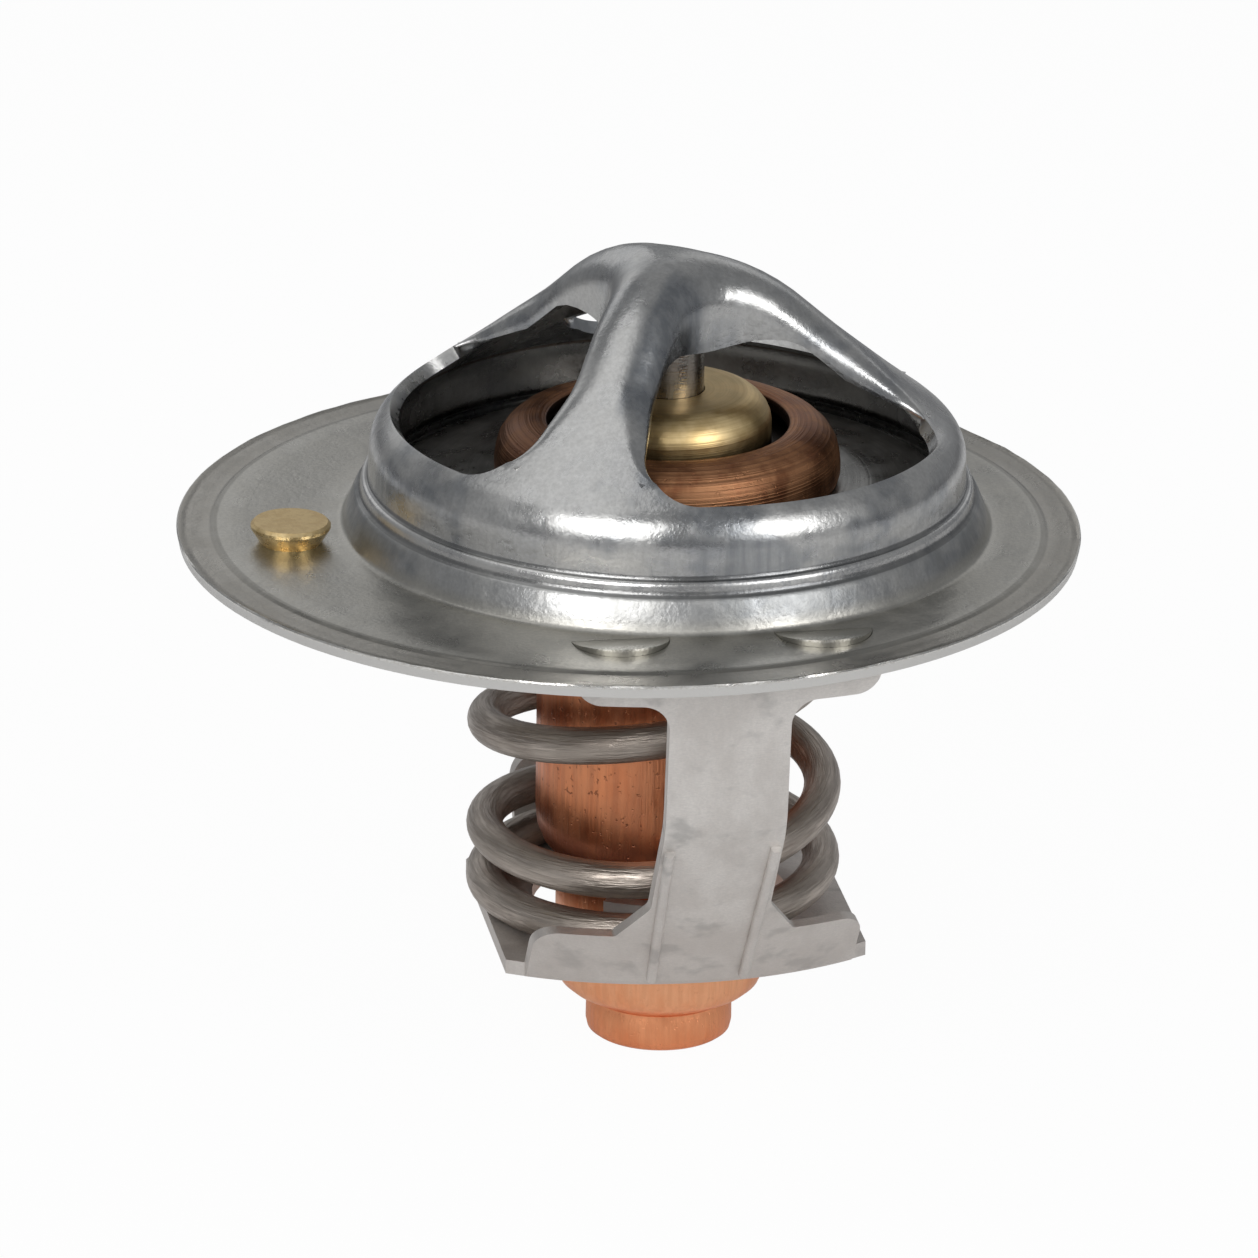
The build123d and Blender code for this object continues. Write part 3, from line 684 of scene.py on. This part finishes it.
# Inside the cup: a rubber boot round the piston with a seal ring above it, and wax mixed
# with copper powder. None of them shows from outside.
rubber = Finish("moulded_rubber", Metallic=0.0)
bloom = rubber.noise(rubber.place(), 1.2, 3.0)
rubber.set(Base_Color=rubber.blend(bloom, (0.025, 0.025, 0.026), (0.05, 0.05, 0.052)), Roughness=0.6 + 0.2 * bloom)
rubber.dress("rubber_boot", "pin_seal")
filled_wax = Finish("copper_filled_wax", Metallic=0.3)
powder = filled_wax.noise(filled_wax.place(), 0.25, 2.0)
filled_wax.set(Base_Color=filled_wax.blend(powder, (0.36, 0.2, 0.12), (0.55, 0.33, 0.2)), Roughness=0.5 + 0.2 * powder)
filled_wax.dress("wax_charge")

# Valve disc: a dished steel pressing that closes the ring from below. It is darker than
# the bridge and reflects the copper that stands in it.
pressed = Finish("pressed_disc", Metallic=1.0)
z, radius = pressed.millimetres(valve_axis)[2:]
rings = pressed.noise(pressed.join(radius, 0.0, z), 0.3, 2.0)
film = pressed.noise(pressed.place(), 2.4, 4.0)
colour = pressed.blend(film, (0.34, 0.335, 0.32), (0.47, 0.465, 0.45))
colour = pressed.blend(rings * 0.25, colour, (0.24, 0.235, 0.225))
pressed.set(Base_Color=colour, Roughness=0.26 + 0.1 * film)
pressed.relief(rings + film, 0.006)
pressed.dress("valve_disc")

# Vent pin: a loose brass pin, turned from bar and tumbled, so that its top is matt and
# its edge is bright.
tumbled = Finish("tumbled_brass", Metallic=1.0)
z = tumbled.millimetres()[2]
dents = tumbled.noise(tumbled.place(), 0.5, 3.0)
top = tumbled.rise(z, 1.0, 1.2)
colour = tumbled.blend(dents, (0.74, 0.54, 0.26), (0.86, 0.67, 0.36))
colour = tumbled.blend(top * 0.2, colour, (0.6, 0.45, 0.25))
tumbled.set(Base_Color=colour, Roughness=0.26 + 0.14 * top + 0.06 * dents)
tumbled.relief(dents, 0.01)
tumbled.dress("vent_pin")

# The table: a white sheet under the part, with a painted pool of light round the part: its
# colour greys away from it, and mirrors see a painted glow near it. Its own shade is
# mostly hidden from the lens, but it keeps the part's soft shadow.
bpy.ops.object.select_all(action="DESELECT")
bpy.ops.mesh.primitive_plane_add(size=6, location=(0, 0, -0.0317))
table = bpy.context.object
table.name = "table"
bpy.ops.object.transform_apply(location=True, rotation=True, scale=True)
paper = Finish("white_sheet", Roughness=0.9)
radius = paper.millimetres()[3]
fibres = paper.noise(paper.place(), 1.5, 3.0)
# painted pool of light: the sheet's colour greys away from the part
light_pool_falloff = paper.rise(radius, 60.0, 420.0)
near_white = paper.blend(fibres, (0.80, 0.80, 0.80), (0.83, 0.83, 0.83))
paper.set(Base_Color=paper.blend(light_pool_falloff, near_white, (0.34, 0.34, 0.35)))
rays = paper.tree.nodes.new("ShaderNodeLightPath")
seen = Value(paper, rays.outputs["Is Camera Ray"])
mirrored = Value(paper, rays.outputs["Is Glossy Ray"]) + Value(paper, rays.outputs["Is Transmission Ray"])
glow = paper.node("ShaderNodeEmission", {}, {"Color": (1.0, 1.0, 1.0), "Strength": 1.0})
surface = Value(paper, paper.shader.outputs["BSDF"])
# mirrors see a painted glow on the sheet near the part, fading away from it
share = seen * 0.965 + mirrored * (0.25 - 0.25 * light_pool_falloff)
mixed = paper.node("ShaderNodeMixShader", {}, {0: share, 1: surface, 2: glow})
paper.tree.links.new(mixed.socket, paper.tree.nodes["Material Output"].inputs["Surface"])
table.data.materials.append(paper.material)


# The light: two wide softboxes in front, left and right, weaker ones behind and above, and
# a dim room, so that the metals have bright and dark places to mirror.
def softbox(name, position, width, height, watts):
    bpy.ops.object.light_add(type="AREA", location=position)
    lamp = bpy.context.object
    lamp.name = name
    lamp.data.shape = "RECTANGLE"
    lamp.data.size = width
    lamp.data.size_y = height
    lamp.data.energy = watts
    lamp.rotation_euler = (-Vector(position)).to_track_quat("-Z", "Y").to_euler()


softbox("left_box", (-0.36, -0.50, 0.36), 0.40, 0.40, 2.2)
softbox("right_box", (0.36, -0.52, 0.32), 0.26, 0.36, 1.55)
softbox("back_box", (-0.14, 0.64, 0.27), 0.50, 0.30, 0.22)
softbox("far_box", (0.34, 0.58, 0.28), 0.36, 0.30, 0.12)
softbox("top_box", (-0.26, 0.0, 0.62), 0.45, 0.45, 0.42)
room = bpy.data.worlds.new("room")
bpy.context.scene.world = room
room.use_nodes = True
tree = room.node_tree
backdrop = tree.nodes["Background"]
backdrop.inputs["Color"].default_value = (1, 1, 1, 1)
dim = tree.nodes.new("ShaderNodeBackground")
dim.inputs["Color"].default_value = (0.95, 0.97, 1.0, 1)
dim.inputs["Strength"].default_value = 0.27
rays = tree.nodes.new("ShaderNodeLightPath")
chooser = tree.nodes.new("ShaderNodeMixShader")
tree.links.new(rays.outputs["Is Camera Ray"], chooser.inputs[0])
tree.links.new(dim.outputs[0], chooser.inputs[1])
tree.links.new(backdrop.outputs[0], chooser.inputs[2])
tree.links.new(chooser.outputs[0], tree.nodes["World Output"].inputs["Surface"])
